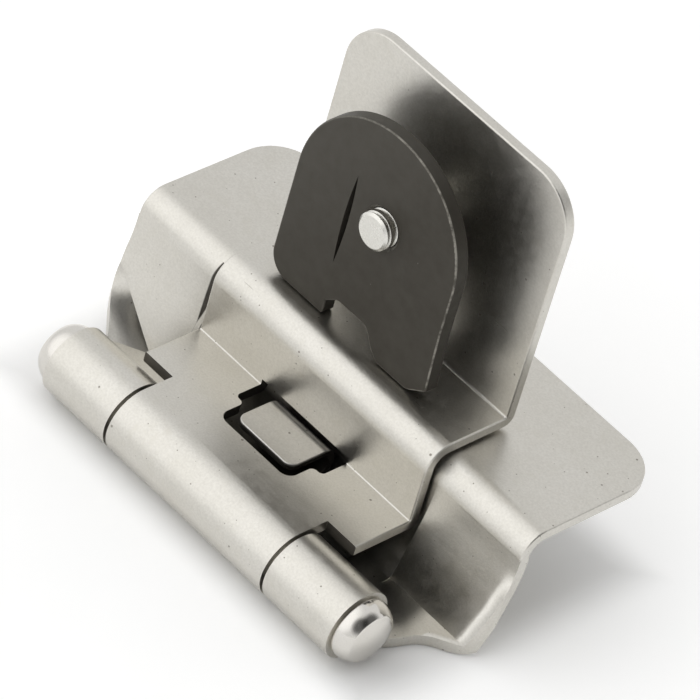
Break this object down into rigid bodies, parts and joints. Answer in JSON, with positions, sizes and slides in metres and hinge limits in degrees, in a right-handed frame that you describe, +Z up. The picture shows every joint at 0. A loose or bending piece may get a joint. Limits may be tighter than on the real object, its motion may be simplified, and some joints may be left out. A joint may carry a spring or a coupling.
{
  "type": "demountable cabinet hinge",
  "caption": "Barrel hinge with a wide cranked lower leaf, a stepped upper leaf with an upright wing, and a screw-drawn clamp plate that grips a panel; satin nickel and dark steel.",
  "frame": {"origin": "on the pin's axis, half way along the barrel", "axes": "+X along the pin, +Y from the barrel towards the wings, +Z up, the way the upright wing stands with the hinge closed"},
  "size_m": [0.0692, 0.0437, 0.0548],
  "materials": {
    "satin_nickel": "satin nickel plate on sheet steel",
    "polished_pin": "polished nickel plate",
    "spring_steel": "plated spring strip",
    "dark_steel": "dark phosphated steel, matte",
    "bright_screw": "bright plated steel"
  },
  "bodies": {
    "fixed_leaf": {"lower_leaf": "satin_nickel", "hinge_pin": "polished_pin"},
    "swing_leaf": {"upper_leaf": "satin_nickel", "closing_spring": "spring_steel"},
    "clamp": {"clamp_plate": "dark_steel"},
    "screw": {"clamp_screw": "bright_screw"}
  },
  "joints": [
    {"name": "leaf_swing", "type": "hinge", "parent": "fixed_leaf", "child": "swing_leaf", "pos_m": [0, 0, 0], "axis": [1, 0, 0], "range_deg": [0, 180]},
    {"name": "screw_turn", "type": "hinge", "parent": "swing_leaf", "child": "screw", "pos_m": [-0.00072, 0.022, 0.0336], "axis": [0, -1, 0], "range_deg": [0, 1975]},
    {"name": "clamp_travel", "type": "slide", "parent": "swing_leaf", "child": "clamp", "axis": [0, 1, 0], "range_m": [0, 0.0058]}
  ],
  "couplings": [
    {"joint": "screw_turn", "follows": "clamp_travel", "rad_per_m": 5927.5}
  ]
}
